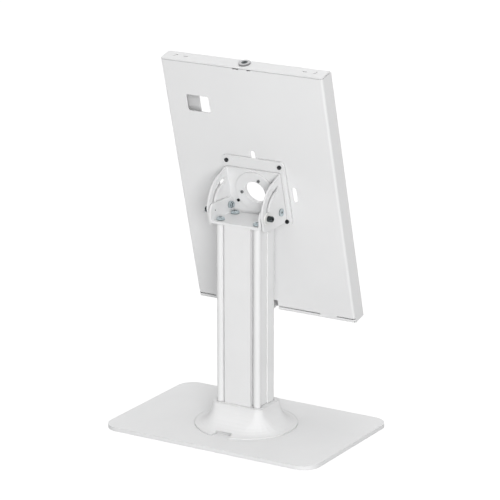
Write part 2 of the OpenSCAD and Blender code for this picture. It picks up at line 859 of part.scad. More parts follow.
module vesa_inserts() {
    color("silver")
    head_place() at_vesa() difference() {
        bar_y(-sheet_t - insert_t, -sheet_t, insert_r);
        bar_y(-sheet_t - insert_t - over, 0, vesa_screw_r + run);
    }
}

// Enclosure

// Slots and holes in the back panel, in (X, Z) about the swivel axis
module panel_holes_2d() {
    circle(pass_r);
    for (sx = [-1, 1], sz = [-1, 1]) translate([sx * vesa / 2, sz * vesa / 2]) circle(vesa_screw_r + 0.2);
    for (s = [-1, 1]) {
        translate([s * side_slot_x, 0]) slot_2d(side_slot[0], side_slot[1]);
        translate([0, s * end_slot_z]) slot_2d(end_slot[0], end_slot[1]);
    }
}

// Slots along the lower bend, the cable notch and the relief cuts, in (X, Z) about the middle
module bend_cuts_2d() {
    z = -half_h + bend_slot_z;
    inner = bridge_x - bridge_w / 2;
    outer = bridge_x + bridge_w / 2;
    translate([-inner, z - slot_cut / 2]) square([2 * inner, slot_cut]);
    for (s = [-1, 1])
        translate([s * (outer + half_w + over) / 2, z])
            square([half_w + over - outer, slot_cut], center = true);
    translate([0, z + notch_h / 2 - slot_cut / 2]) rounded_rect(notch_w, notch_h + slot_cut, 0.6);
    for (r = [relief_1, relief_2])
        translate([r[0], shell_top]) square([r[1], 2 * relief_t], center = true);
}

module back_shell() {
    web_low = -half_h + bend_r;
    window_x = half_w - window_from_side;
    window_z = half_h - window_from_top;
    hook_y = bezel_y + hook_reach;
    color("whitesmoke")
    shell_place() difference() {
        union() {
            translate([0, 0, web_low]) linear_extrude(shell_top - web_low)
                channel_2d(shell_w, shell_d, sheet_t, bend_r);
            both_sides() translate([wall_in, front_y, -half_h])
                cube([sheet_t, shell_d - bend_r, bend_r + 0.02]);
            along_x(-cover_half, cover_half) bottom_bend_2d();
        }
        translate([0, 0, shell_drop]) along_y(-sheet_t - over, over) panel_holes_2d();
        translate([window_x, 0, window_z]) along_y(-sheet_t - over, over) rounded_rect(window_w, window_h, 3);
        along_y(-bend_r, over) bend_cuts_2d();
        translate([-notch_w / 2, -bend_r - notch_depth, -half_h - over])
            cube([notch_w, bend_r + notch_depth + over, bend_slot_z + over]);
        both_sides() translate([bridge_x - hook_w / 2 - 0.6, hook_y - sheet_t - 1.2, -half_h - over])
            cube([hook_w + 1.2, hook_slot, sheet_t + 2 * over]);
    }
}

// Lower bend and bottom wall, seen from the side in (Y, Z)
module bottom_bend_2d() {
    translate([front_y, -half_h]) square([shell_d - bend_r, sheet_t]);
    intersection() {
        translate([-bend_r, -half_h + bend_r]) difference() {
            circle(bend_r);
            circle(inner_bend);
        }
        translate([-bend_r, -half_h]) square([bend_r, bend_r]);
    }
    translate([-sheet_t, -half_h + bend_r - 0.01]) square([sheet_t, 0.02]);
}

module lock_keeper() {
    z0 = keeper_top - keeper_h;
    color("silver")
    shell_place() {
        translate([keeper_x, keeper_lip_y - keeper_t, z0])
            cube([keeper_t, -sheet_t - keeper_lip_y + keeper_t, keeper_h]);
        translate([keeper_lip_x, keeper_lip_y - keeper_t, z0])
            cube([keeper_x - keeper_lip_x + keeper_t, keeper_t, keeper_h]);
        translate([keeper_x, -sheet_t - keeper_t, z0 - 2])
            cube([keeper_t + keeper_foot, keeper_t, keeper_h + 4]);
    }
}

// Foam blocks that centre the tablet, stuck to the back panel
module foam_pads() {
    side_w = cover_half - sheet_t - fit_gap - bay_w / 2;
    side_h = 50;
    end_w = 40;
    end_h = 15;
    y0 = -sheet_t - foam_t;
    color("dimgray")
    shell_place() for (sx = [-1, 1], sz = [-1, 1]) {
        translate([sx * (bay_w / 2 + side_w / 2), y0 + foam_t / 2, sz * 80])
            cube([side_w, foam_t, side_h], center = true);
        translate([sx * 45, y0 + foam_t / 2, sz * (bay_h / 2 + end_h / 2)])
            cube([end_w, foam_t, end_h], center = true);
    }
}

// Top bend of the front cover, seen from the side in (Y, Z)
module roof_bend_2d() {
    translate([front_y + bend_r, half_h - bend_r]) intersection() {
        difference() {
            circle(bend_r);
            circle(inner_bend);
        }
        translate([-bend_r, 0]) square([bend_r, bend_r]);
    }
    translate([front_y, half_h - bend_r - 0.01]) square([sheet_t, 0.02]);
}

// Top wall of the front cover, seen from above in (X, Y)
module roof_2d() {
    difference() {
        translate([0, (front_y + bend_r) / 2]) union() {
            square([shell_w - 2 * roof_corner_r, shell_d - bend_r], center = true);
            translate([0, -roof_corner_r / 2])
                square([shell_w, shell_d - bend_r - roof_corner_r], center = true);
        }
        translate([0, lock_y]) circle(lock_barrel_r + 0.1);
        for (s = [-1, 1]) {
            translate([s * roof_slot_x1, -shell_d / 2]) slot_2d(roof_slot[0], roof_slot[1]);
            translate([s * roof_slot_x2, -shell_d / 2]) rotate(roof_slot_a)
                slot_2d(roof_slot[0], roof_slot[1]);
        }
    }
    for (s = [-1, 1]) translate([s * (half_w - roof_corner_r), -roof_corner_r]) intersection() {
        circle(roof_corner_r);
        translate([s * roof_corner_r / 2, roof_corner_r / 2]) square(roof_corner_r, center = true);
    }
}

module front_cover() {
    flange_half = half_h - flange_end;
    hook_y = bezel_y + hook_reach;
    color("whitesmoke")
    shell_place() {
        difference() {
            union() {
                translate([-cover_half + bend_r, front_y, cover_low])
                    cube([2 * (cover_half - bend_r), sheet_t, half_h - bend_r - cover_low]);
                both_sides() translate([cover_half - bend_r - 0.01, front_y, cover_low])
                    cube([bend_r + 0.01, sheet_t, half_h - flange_half - sheet_t - sheet_gap]);
                both_sides() translate([cover_half - bend_r - 0.01, front_y, flange_half])
                    cube([bend_r + 0.01, sheet_t, flange_end - bend_r]);
                translate([0, front_y, -flange_half]) linear_extrude(2 * flange_half) mirror([0, 1])
                    channel_2d(2 * cover_half, flange_y - front_y, sheet_t, bend_r);
                along_x(-cover_half, cover_half) roof_bend_2d();
                translate([0, 0, roof_z]) linear_extrude(sheet_t) roof_2d();
            }
            along_y(front_y - over, bezel_y + over) rounded_rect(screen_w, screen_h, 6);
        }
        both_sides() translate([bridge_x - hook_w / 2, 0, cover_low]) {
            translate([0, bezel_y - 0.01, 0]) cube([hook_w, hook_reach, sheet_t]);
            translate([0, hook_y - sheet_t, -half_h - cover_low])
                cube([hook_w, sheet_t, cover_low + half_h + sheet_t]);
        }
    }
}

// Lock

module lock_barrel() {
    color("silver")
    lock_place() difference() {
        union() {
            translate([0, 0, half_h]) cylinder(h = lock_head_t * 0.5, r = lock_head_r);
            translate([0, 0, half_h + lock_head_t * 0.5])
                cylinder(h = lock_head_t * 0.5, r1 = lock_head_r, r2 = lock_head_r - 0.8);
            translate([0, 0, lock_low]) cylinder(h = half_h - lock_low + 0.01, r = lock_barrel_r);
        }
        translate([0, 0, lock_low - over])
            cylinder(h = half_h + lock_head_t - lock_low + 2 * over, r = lock_plug_r + run);
    }
}

module lock_washer() {
    color("silver")
    lock_place() difference() {
        translate([0, 0, roof_z - seat - lock_wash_t]) cylinder(h = lock_wash_t, r = lock_nut_r);
        translate([0, 0, lock_low]) cylinder(h = lock_len, r = lock_barrel_r + run);
    }
}

module lock_nut() {
    color("silver")
    lock_place() difference() {
        translate([0, 0, roof_z - 2 * seat - lock_wash_t - lock_nut_t])
            linear_extrude(lock_nut_t) hex_2d(lock_nut_r);
        translate([0, 0, lock_low]) cylinder(h = lock_len, r = lock_barrel_r + run);
    }
}

module lock_plug() {
    top = half_h + lock_head_t;
    color("silver")
    lock_place() difference() {
        union() {
            translate([0, 0, lock_low]) cylinder(h = top - lock_low, r = lock_plug_r);
            translate([-tail_w / 2, -tail_w / 2, lock_low - tail_len])
                cube([tail_w, tail_w, tail_len + 0.01]);
        }
        translate([-keyway[0] / 2, -keyway[1] / 2, top - keyway_t])
            cube([keyway[0], keyway[1], keyway_t + over]);
        translate([0, 0, lock_low - tail_len - over]) cylinder(h = 8, r = cam_screw_r + run);
    }
}

// The cam points at the back panel while the lock is open
module lock_cam() {
    hub = 5;
    color("silver")
    lock_place() translate([0, 0, cam_z - cam_t]) difference() {
        union() {
            cylinder(h = cam_t, r = hub);
            translate([-cam_w / 2, 0, 0]) cube([cam_w, cam_len - cam_w / 2, cam_t]);
            translate([0, cam_len - cam_w / 2, 0]) cylinder(h = cam_t, r = cam_w / 2);
        }
        translate([0, 0, cam_t / 2]) cube([tail_w + 0.1, tail_w + 0.1, cam_t + 2 * over], center = true);
    }
}

module cam_screw() {
    z = lock_low - tail_len - seat;
    color("silver")
    lock_place() {
        translate([0, 0, z - cam_head_t]) cylinder(h = cam_head_t, r = cam_head_r);
        translate([0, 0, z - 0.01]) cylinder(h = 6, r = cam_screw_r);
    }
}

base_pads();
base_plate();
post_base_screws();
post();
cable_cover();
base_cover();
lower_bracket();
bracket_screws();
pivot_bolts();
pivot_nuts();
pivot_washers();
slot_bolts();
slot_washers();
tilt_bracket();
stop_pins();
swivel_washer();
swivel_ring();
ring_screws();
vesa_plate();
vesa_screws();
vesa_inserts();
back_shell();
lock_keeper();
foam_pads();
front_cover();
lock_barrel();
lock_washer();
lock_nut();
lock_plug();
lock_cam();
cam_screw();
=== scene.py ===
# %% [markdown]
# # A countertop security stand for a tablet
#
# The stand is nearly all white: powder-coated steel, an extruded post and two moulded covers. The
# small things carry the contrast, which are the black screws, the bright zinc screws and the
# chrome lock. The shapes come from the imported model, which is loaded here and never moved. This
# lesson gives each surface a finish made of nodes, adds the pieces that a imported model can't hold
# well, such as soft foam and screw threads, and then lights and frames the whole stand.

import json
import math

import bmesh
import bpy
from mathutils import Matrix, Vector


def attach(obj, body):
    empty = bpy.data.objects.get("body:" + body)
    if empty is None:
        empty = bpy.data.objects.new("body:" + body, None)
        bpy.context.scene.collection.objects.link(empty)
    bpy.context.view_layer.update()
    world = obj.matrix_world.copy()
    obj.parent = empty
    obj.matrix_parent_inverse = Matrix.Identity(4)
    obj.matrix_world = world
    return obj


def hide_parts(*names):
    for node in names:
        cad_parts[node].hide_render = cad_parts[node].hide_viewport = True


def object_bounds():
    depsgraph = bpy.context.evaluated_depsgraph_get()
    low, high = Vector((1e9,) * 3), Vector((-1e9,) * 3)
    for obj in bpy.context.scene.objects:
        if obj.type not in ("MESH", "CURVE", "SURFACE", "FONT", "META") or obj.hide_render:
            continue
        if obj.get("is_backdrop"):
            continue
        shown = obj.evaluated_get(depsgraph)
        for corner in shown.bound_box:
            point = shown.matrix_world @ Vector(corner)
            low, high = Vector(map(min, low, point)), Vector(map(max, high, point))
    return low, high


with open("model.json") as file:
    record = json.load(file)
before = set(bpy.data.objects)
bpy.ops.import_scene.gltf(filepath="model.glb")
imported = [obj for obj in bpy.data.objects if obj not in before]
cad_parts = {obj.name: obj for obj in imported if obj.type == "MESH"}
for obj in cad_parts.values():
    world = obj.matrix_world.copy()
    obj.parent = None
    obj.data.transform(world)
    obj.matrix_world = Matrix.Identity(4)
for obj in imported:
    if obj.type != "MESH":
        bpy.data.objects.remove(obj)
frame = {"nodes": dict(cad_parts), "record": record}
cad_low, cad_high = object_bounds()
nodes = frame["nodes"]
print(f"loaded {len(nodes)} nodes, {(cad_high.z - cad_low.z) * 1000:.0f} mm tall")

# %% [markdown]
# Half of the stand leans back with the screen. Pieces that are added there are easiest to build
# upright and then turn into place, so the lean is read from the swivel's axis in the record rather
# than typed in again. If the model ever leans differently, the added pieces follow it.

# %% The leaning head's own directions
joints = {j["name"]: j for j in frame["record"]["behaviour"]["joints"]}
head_back = Vector(joints["swivel"]["axis"]).normalized()
head_right = Vector((1.0, 0.0, 0.0))
head_up = head_right.cross(head_back)
head_turn = Matrix((head_right, head_back, head_up)).transposed()
lean = math.degrees(math.atan2(head_up.y, head_up.z))
MM = 0.001  # Blender counts in metres
print(f"the head leans back by {lean:.1f} degrees")

# %% [markdown]
# Every finish starts the same way: a material with one Principled shader. Texture coordinates come
# from the object, in metres, because all the nodes share one origin. A scale of 1000 then means
# detail about a millimetre apart, on every piece alike, however large the piece is.

# %% Helpers for node materials


class Finish:
    """One material, with short calls for the nodes that the finishes below share."""

    def __init__(self, name, metallic=0.0, specular=0.5):
        self.material = bpy.data.materials.new(name)
        self.material.use_nodes = True
        self.tree = self.material.node_tree
        self.shader = self.tree.nodes["Principled BSDF"]
        self.shader.inputs["Metallic"].default_value = metallic
        self.shader.inputs["Specular IOR Level"].default_value = specular
        self.place = self.add("ShaderNodeTexCoord").outputs["Object"]

    def add(self, kind, **settings):
        """A new node with its settings filled in."""
        node = self.tree.nodes.new(kind)
        for key, value in settings.items():
            setattr(node, key, value)
        return node

    def link(self, source, target):
        """One wire from an output to an input."""
        self.tree.links.new(source, target)

    def noise(self, scale, detail=2.0, roughness=0.5, stretch=None):
        """Cloudy noise; stretch is an optional scale for each axis."""
        place = self.place
        if stretch:
            mapping = self.add("ShaderNodeMapping")
            mapping.inputs["Scale"].default_value = stretch
            self.link(place, mapping.inputs["Vector"])
            place = mapping.outputs["Vector"]
        node = self.add("ShaderNodeTexNoise")
        node.inputs["Scale"].default_value = scale
        node.inputs["Detail"].default_value = detail
        node.inputs["Roughness"].default_value = roughness
        self.link(place, node.inputs["Vector"])
        return node.outputs["Fac"]

    def cells(self, scale):
        """Rounded cells, such as foam."""
        node = self.add("ShaderNodeTexVoronoi", feature="F1")
        node.inputs["Scale"].default_value = scale
        self.link(self.place, node.inputs["Vector"])
        return node.outputs["Distance"]

    def spread(self, value, low, high, start=0.3, end=0.7):
        """Maps value from start..end to low..high."""
        node = self.add("ShaderNodeMapRange")
        limits = {"From Min": start, "From Max": end, "To Min": low, "To Max": high}
        for name, number in limits.items():
            node.inputs[name].default_value = number
        self.link(value, node.inputs["Value"])
        return node.outputs["Result"]

    def mix(self, fac, first, second):
        """Blends two colours by a mask."""
        node = self.add("ShaderNodeMix", data_type="RGBA")
        self.link(fac, node.inputs["Factor"])
        for socket, colour in ((node.inputs["A"], first), (node.inputs["B"], second)):
            if isinstance(colour, tuple):
                socket.default_value = (*colour, 1.0)
            else:
                self.link(colour, socket)
        return node.outputs["Result"]

    def soft_edge(self, radius):
        """A normal that rounds the sharp edges, and a mask that is 1 along them."""
        bevel = self.add("ShaderNodeBevel", samples=6)
        bevel.inputs["Radius"].default_value = radius
        here = self.add("ShaderNodeNewGeometry")
        dot = self.add("ShaderNodeVectorMath", operation="DOT_PRODUCT")
        self.link(bevel.outputs["Normal"], dot.inputs[0])
        self.link(here.outputs["Normal"], dot.inputs[1])
        mask = self.spread(dot.outputs["Value"], 1.0, 0.0, start=0.75, end=0.995)
        return bevel.outputs["Normal"], mask

    def hollows(self, distance, dark, fade=0.35):
        """A mask that is 1 deep inside recesses: up to dark of open air, gone at dark + fade."""
        node = self.add("ShaderNodeAmbientOcclusion", samples=8)
        node.inputs["Distance"].default_value = distance
        return self.spread(node.outputs["AO"], 1.0, 0.0, start=dark, end=dark + fade)

    def bump(self, height, distance, strength, normal=None):
        """Fine relief on the surface, on top of a rounded normal if one is given."""
        node = self.add("ShaderNodeBump")
        node.inputs["Distance"].default_value = distance
        node.inputs["Strength"].default_value = strength
        self.link(height, node.inputs["Height"])
        if normal is not None:
            self.link(normal, node.inputs["Normal"])
        self.link(node.outputs["Normal"], self.shader.inputs["Normal"])

    def colour(self, source):
        self.link(source, self.shader.inputs["Base Color"])

    def roughness(self, source):
        self.link(source, self.shader.inputs["Roughness"])


print("finish helpers are ready")

# %% [markdown]
# Powder coat is plastic powder melted onto steel. It isn't smooth: it flows into a fine orange peel
# about a millimetre apart, and it thins where it wraps round a sharp edge. So the finish is a fine
# noise for the bump, a slower noise for the gloss, and a bevel mask that lightens the edges as a
# painted highlight. A clean new stand needs no scratches, and the photograph shows none. Gaps
# between thin sheets should read as crisp dark lines, so an occlusion mask paints shade into what
# lies deep in a gap. The enclosure has the finest seams, and its mask is the sharpest.

# %% White powder coat
MATT_SHEEN = 0.25
# painted shade: the nearly black colour put deep in gaps and seams
GAP_PAINTED_SHADE = (0.03, 0.03, 0.03)
COAT_CLOUDS, COAT_GLOSS_SPOTS, ORANGE_PEEL = 14.0, 160.0, 1100.0


def powder_coat(name, white, shade, edge, gloss, edge_radius, gap=1.3 * MM, dark=0.28,
                fade=0.35):
    """White powder coat; gap, dark and fade shape the mask that paints shade into deep gaps."""
    finish = Finish(name, specular=MATT_SHEEN)
    normal, edges = finish.soft_edge(edge_radius)
    clouds = finish.mix(finish.spread(finish.noise(COAT_CLOUDS, 3.0), 0.0, 1.0), shade, white)
    # painted highlight: the bevel mask lightens the colour along sharp edges
    coat = finish.mix(edges, clouds, edge)
    # painted shade: the occlusion mask darkens the colour deep in gaps and seams
    finish.colour(finish.mix(finish.hollows(gap, dark, fade), coat, GAP_PAINTED_SHADE))
    finish.roughness(finish.spread(finish.noise(COAT_GLOSS_SPOTS), gloss - 0.05, gloss + 0.06))
    finish.bump(finish.noise(ORANGE_PEEL, 2.0, 0.6), 0.2 * MM, 0.12, normal)
    return finish.material


coat_white = (0.785, 0.786, 0.788)
coat_shade = (0.765, 0.767, 0.77)
# the colour of the painted highlight along sharp edges
coat_edge_highlight = (0.83, 0.83, 0.83)
post_white = (0.8, 0.801, 0.803)
sheet_coat = powder_coat("powder_coat_on_sheet", coat_white, coat_shade, coat_edge_highlight, 0.42, 0.6 * MM)
shell_coat = powder_coat("powder_coat_on_shell", coat_white, coat_shade, coat_edge_highlight, 0.42, 0.6 * MM,
                         gap=3.0 * MM, dark=0.46, fade=0.08)
plate_coat = powder_coat("powder_coat_on_plate", coat_white, coat_shade, coat_edge_highlight, 0.46, 1.2 * MM)
post_coat = powder_coat("powder_coat_on_post", post_white, coat_white, coat_edge_highlight, 0.38, 0.4 * MM)
print("four powder coats: sheet, shell, plate and post")

# %% [markdown]
# The base cover and the cable strip are moulded in plastic of the same white. Moulded plastic takes
# the grain of its mould, so it is finer and a little glossier than powder coat, and its colour is
# even all the way through. Nylon washers are the same idea with a milky, softer surface.

# %% White plastic and nylon


def moulded_plastic(name, white, gloss, grain, edge_radius, milk=0.0):
    """White plastic; milk is the share of light that sinks in, as in nylon."""
    finish = Finish(name, specular=MATT_SHEEN)
    normal, edges = finish.soft_edge(edge_radius)
    deep, rim = (tuple(c * share for c in white) for share in (0.975, 0.99))
    clouds = finish.mix(finish.spread(finish.noise(30.0), 0.0, 1.0), deep, white)
    finish.colour(finish.mix(edges, clouds, rim))
    finish.roughness(finish.spread(finish.noise(300.0), gloss - 0.04, gloss + 0.04))
    finish.bump(finish.noise(grain, 3.0, 0.7), 0.1 * MM, 0.1, normal)
    if milk:
        finish.shader.inputs["Subsurface Weight"].default_value = milk
        finish.shader.inputs["Subsurface Scale"].default_value = 1.0 * MM
        finish.shader.inputs["Subsurface Radius"].default_value = (1.0, 1.0, 1.0)
    return finish.material


cover_white = (0.78, 0.78, 0.782)
strip_white = (0.795, 0.795, 0.797)
milky_white = (0.78, 0.78, 0.765)
cover_plastic = moulded_plastic("moulded_cover_plastic", cover_white, 0.42, 2200.0, 2.2 * MM)
strip_plastic = moulded_plastic("extruded_strip_plastic", strip_white, 0.4, 1800.0, 0.8 * MM)
nylon = moulded_plastic("washer_nylon", milky_white, 0.45, 1500.0, 0.2 * MM, milk=0.15)
print("plastics: cover, strip and nylon")

# %% [markdown]
# Five metals show. Zinc plate is bright with a cool tint and a faint cloudy bloom. Black oxide is a
# thin dark film, so worn edges let the steel through. Blued steel is as dark but shines, and the
# small ring screws are a plain dark steel. Chrome is almost a mirror, and only very fine polishing
# lines keep it from looking like glass. One function makes all five, since what differs is the
# colour, the gloss and how much the edge mask shows. An occlusion mask paints shade into the
# hollows, such as the drive of a screw, so the crosses read as black from afar.

# %% Zinc, black oxide, blued steel, dark steel and chrome
DRIVE_DEPTH = 1.6 * MM
# painted shade: the nearly black colour put into the hollows of the metals
DRIVE_PAINTED_SHADE = (0.015, 0.017, 0.018)
POLISHING_LINES = (1.0, 1.0, 6.0)


def plated_steel(name, tint, deep, edge, gloss, grain, grain_depth, metallic=1.0, dark=0.25):
    """Plated steel: tint and deep make the bloom, and edge shows where the plating wears."""
    finish = Finish(name, metallic=metallic)
    normal, edges = finish.soft_edge(0.2 * MM)
    bloom = finish.mix(finish.spread(finish.noise(420.0, 4.0, 0.6), 0.0, 1.0), deep, tint)
    worn = finish.mix(edges, bloom, edge)
    # painted shade: the occlusion mask darkens the colour in hollows such as screw drives
    finish.colour(finish.mix(finish.hollows(DRIVE_DEPTH, dark), worn, DRIVE_PAINTED_SHADE))
    finish.roughness(finish.spread(finish.noise(700.0, 3.0), gloss * 0.75, gloss * 1.3))
    lines = finish.noise(grain, stretch=POLISHING_LINES)
    finish.bump(lines, 0.05 * MM, grain_depth, normal)
    return finish.material


bright_zinc = plated_steel(
    "bright_zinc", tint=(0.66, 0.73, 0.76), deep=(0.5, 0.58, 0.61), edge=(0.84, 0.9, 0.92),
    gloss=0.14, grain=2400.0, grain_depth=0.15, dark=0.5)
black_oxide = plated_steel(
    "black_oxide", tint=(0.045, 0.047, 0.05), deep=(0.03, 0.032, 0.035), edge=(0.2, 0.21, 0.215),
    gloss=0.3, grain=2000.0, grain_depth=0.2, metallic=0.85)
blued_steel = plated_steel(
    "blued_steel", tint=(0.1, 0.115, 0.12), deep=(0.06, 0.07, 0.075), edge=(0.35, 0.39, 0.4),
    gloss=0.12, grain=2400.0, grain_depth=0.15, dark=0.5)
dark_steel = plated_steel(
    "dark_steel", tint=(0.3, 0.31, 0.315), deep=(0.2, 0.21, 0.215), edge=(0.42, 0.43, 0.435),
    gloss=0.42, grain=2000.0, grain_depth=0.2)
chrome = plated_steel(
    "polished_chrome", tint=(0.6, 0.6, 0.61), deep=(0.5, 0.5, 0.51), edge=(0.85, 0.85, 0.86),
    gloss=0.06, grain=3200.0, grain_depth=0.05, dark=0.5)
print("metals: zinc, black oxide, blued steel, dark steel and chrome")

# %% [markdown]
# The feet are rubber and the tablet sits between blocks of closed-cell foam. Both are black and
# matt. What tells them apart is the surface: rubber has a fine even grain, while cut foam shows the
# skins of its bubbles, which a cell texture gives.

# %% Rubber and foam


def foot_rubber():
    """Matt rubber with a fine even grain."""
    finish = Finish("foot_rubber", specular=0.3)
    normal, edges = finish.soft_edge(0.4 * MM)
    worn = finish.mix(finish.spread(finish.noise(90.0, 3.0), 0.0, 1.0),
                      (0.02, 0.02, 0.02), (0.035, 0.034, 0.033))
    finish.colour(finish.mix(edges, worn, (0.06, 0.06, 0.058)))
    finish.roughness(finish.spread(finish.noise(500.0), 0.72, 0.85))
    finish.bump(finish.noise(1600.0, 3.0), 0.2 * MM, 0.3, normal)
    return finish.material


def cell_foam():
    """Cut foam, with the skins of its bubbles."""
    finish = Finish("closed_cell_foam", specular=0.2)
    bubbles = finish.cells(1400.0)
    finish.colour(finish.mix(finish.spread(bubbles, 0.0, 1.0, 0.1, 0.8),
                             (0.028, 0.028, 0.03), (0.06, 0.06, 0.062)))
    finish.roughness(finish.spread(finish.noise(200.0), 0.85, 0.97))
    finish.bump(bubbles, 0.4 * MM, 0.6)
    return finish.material


rubber, foam = foot_rubber(), cell_foam()
print("soft finishes: rubber and foam")

# %% [markdown]
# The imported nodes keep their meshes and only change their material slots. A table of finish to
# nodes reads better than one line for each node, and a check at the end shows that none was missed.

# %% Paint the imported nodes
wears = {
    sheet_coat: ["lower_bracket", "tilt_bracket", "swivel_ring", "vesa_plate"],
    shell_coat: ["back_shell", "front_cover"],
    plate_coat: ["base_plate"],
    post_coat: ["post"],
    cover_plastic: ["base_cover"],
    strip_plastic: ["cable_cover"],
    nylon: ["pivot_washers", "swivel_washer", "slot_washers"],
    bright_zinc: ["post_base_screws", "bracket_screws", "pivot_bolts", "pivot_nuts", "vesa_inserts",
                  "lock_keeper", "lock_washer", "lock_nut", "lock_cam", "cam_screw"],
    black_oxide: ["stop_pins", "vesa_screws"],
    blued_steel: ["slot_bolts", "lock_plug"],
    dark_steel: ["ring_screws"],
    chrome: ["lock_barrel"],
    rubber: ["base_pads"],
    foam: ["foam_pads"],
}
for material, names in wears.items():
    for name in names:
        slots = nodes[name].data.materials
        slots.clear()
        slots.append(material)
painted = {name for names in wears.values() for name in names}
print("left unpainted:", sorted(set(nodes) - painted) or "none")

# %% [markdown]
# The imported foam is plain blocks, because a simulation only needs their mass and place. Real blocks
# are cut from a sheet with a blade and glued down: the edge at the glue stays sharp, the free edges
# round over, and the free face swells a little in the middle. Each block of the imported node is
# found as an island of its mesh, measured in the head's own directions, and rebuilt with a crown.

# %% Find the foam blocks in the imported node


def islands(mesh):
    """Lists of vertex positions, one list for each separate solid."""
    work = bmesh.new()
    work.from_mesh(mesh)
    bmesh.ops.remove_doubles(work, verts=work.verts, dist=1e-6)
    seen, found = set(), []
    for start in work.verts:
        if start in seen:
            continue
        group, waiting = [], [start]
        seen.add(start)
        while waiting:
            vertex = waiting.pop()
            group.append(vertex.co.copy())
            for edge in vertex.link_edges:
                other = edge.other_vert(vertex)
                if other not in seen:
                    seen.add(other)
                    waiting.append(other)
        found.append(group)
    work.free()
    return found


to_head = head_turn.inverted()
blocks = []
for group in islands(nodes["foam_pads"].data):
    local = [to_head @ point for point in group]
    low = Vector(min(p[i] for p in local) for i in range(3))
    high = Vector(max(p[i] for p in local) for i in range(3))
    blocks.append((low, high))
blocks.sort(key=lambda b: (round(b[0].x, 3), round(b[0].z, 3)))
print(f"{len(blocks)} foam blocks, {(blocks[0][1].y - blocks[0][0].y) * 1000:.0f} mm thick")

# %% [markdown]
# A grid on each face could swell any face, but only the free face needs it. So the block is a stack
# of rounded-rectangle rings from the glue line up to the free face. Each ring steps in as it nears
# the top, and the last fan of rings rises towards the middle. The rings share one loop of code.

# %% Crowned foam blocks


def ring_points(half_x, half_z, corner, steps=4):
    """A rounded rectangle in X and Z, anticlockwise."""
    points = []
    for quarter, (sx, sz) in enumerate(((1, 1), (-1, 1), (-1, -1), (1, -1))):
        for step in range(steps + 1):
            angle = math.pi / 2 * (quarter + step / steps)
            points.append((sx * (half_x - corner) + corner * math.cos(angle),
                           sz * (half_z - corner) + corner * math.sin(angle)))
    return points


GLUE_EDGE = 0.6 * MM
ARC_STEPS = 4


def block_levels(low, high, half_width, crown, round_over):
    """Depth and inset of each ring, from the glue line over the rounded edge to the crown."""
    levels = [(high.y, 0.0), (high.y - GLUE_EDGE, 0.0)]
    for step in range(ARC_STEPS + 1):
        angle = math.pi / 2 * step / ARC_STEPS
        levels.append((low.y + crown + round_over * (1 - math.sin(angle)),
                       round_over * (1 - math.cos(angle))))
    for rise, share in ((0.35, 0.35), (0.1, 0.62)):
        levels.append((low.y + crown * rise, half_width * share))
    return levels


def foam_block(name, low, high, crown=0.7 * MM, round_over=2.0 * MM):
    """One block between two corners, given in the head's own directions."""
    centre, half = (low + high) / 2, (high - low) / 2
    narrow = min(half.x, half.z)
    work = bmesh.new()
    rings = []
    for depth, inset in block_levels(low, high, half.x, crown, round_over):
        corner = max(GLUE_EDGE, round_over + 1.0 * MM - inset * 0.2)
        inset = min(inset, narrow * 0.8)
        corner = min(corner, (narrow - inset) * 0.9)
        outline = ring_points(half.x - inset, half.z - inset, corner)
        rings.append([work.verts.new((centre.x + x, depth, centre.z + z)) for x, z in outline])
    for lower, upper in zip(rings, rings[1:]):
        for k in range(len(lower)):
            nxt = (k + 1) % len(lower)
            work.faces.new((lower[k], lower[nxt], upper[nxt], upper[k]))
    work.faces.new(rings[0])
    top, last = work.verts.new((centre.x, low.y, centre.z)), rings[-1]
    for k in range(len(last)):
        work.faces.new((last[k], last[(k + 1) % len(last)], top))
    bmesh.ops.recalc_face_normals(work, faces=work.faces)
    for face in work.faces:
        face.smooth = len(face.verts) < 5  # all but the flat glued face
    bmesh.ops.transform(work, matrix=head_turn.to_4x4(), verts=work.verts)
    mesh = bpy.data.meshes.new(name)
    work.to_mesh(mesh)
    work.free()
    mesh.materials.append(foam)
    block = bpy.data.objects.new(name, mesh)
    bpy.context.collection.objects.link(block)
    return block


for number, (low, high) in enumerate(blocks, 1):
    block = foam_block(f"foam_block_{number}", low, high)
    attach(block, "enclosure")
    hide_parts("foam_pads")
print(f"made {len(blocks)} crowned foam blocks")

# %% [markdown]
# A bare end of a bolt shows its thread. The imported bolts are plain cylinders, because a thread
# would hide their true fit in the bore. So a thin ridge is wound round the parts that stand free:
# the ends of the pivot bolts inside the lower bracket, and the lock's barrel under the cover. A
# small triangle that one function sweeps along a helix does for all of them.

# %% A wound thread
STEPS_PER_TURN = 20
FADE_STEPS = 5
SUNK = 0.1 * MM


def wound_thread(name, start, along, length, radius, pitch, material, body, depth):
    """A ridge that winds round a bar from start, in the direction along."""
    along = along.normalized()
    side = along.orthogonal().normalized()
    other = along.cross(side)
    count = max(2, int(length / pitch * STEPS_PER_TURN))
    foot, root = pitch * 0.36, radius - SUNK
    work = bmesh.new()
    rows = []
    for k in range(count + 1):
        angle = 2 * math.pi * k / STEPS_PER_TURN
        fade = min(1.0, k / FADE_STEPS, (count - k) / FADE_STEPS)
        out = side * math.cos(angle) + other * math.sin(angle)
        middle = start + along * (length * k / count)
        triangle = ((root, -foot), (radius + depth * fade, 0.0), (root, foot))
        rows.append([work.verts.new(middle + out * r + along * a) for r, a in triangle])
    for before, after in zip(rows, rows[1:]):
        for k in range(3):
            nxt = (k + 1) % 3
            work.faces.new((before[k], before[nxt], after[nxt], after[k]))
    work.faces.new(rows[0])
    work.faces.new(rows[-1])
    bmesh.ops.recalc_face_normals(work, faces=work.faces)
    mesh = bpy.data.meshes.new(name)
    work.to_mesh(mesh)
    work.free()
    mesh.materials.append(material)
    piece = bpy.data.objects.new(name, mesh)
    bpy.context.collection.objects.link(piece)
    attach(piece, body)
    return piece


print("the thread function is ready")

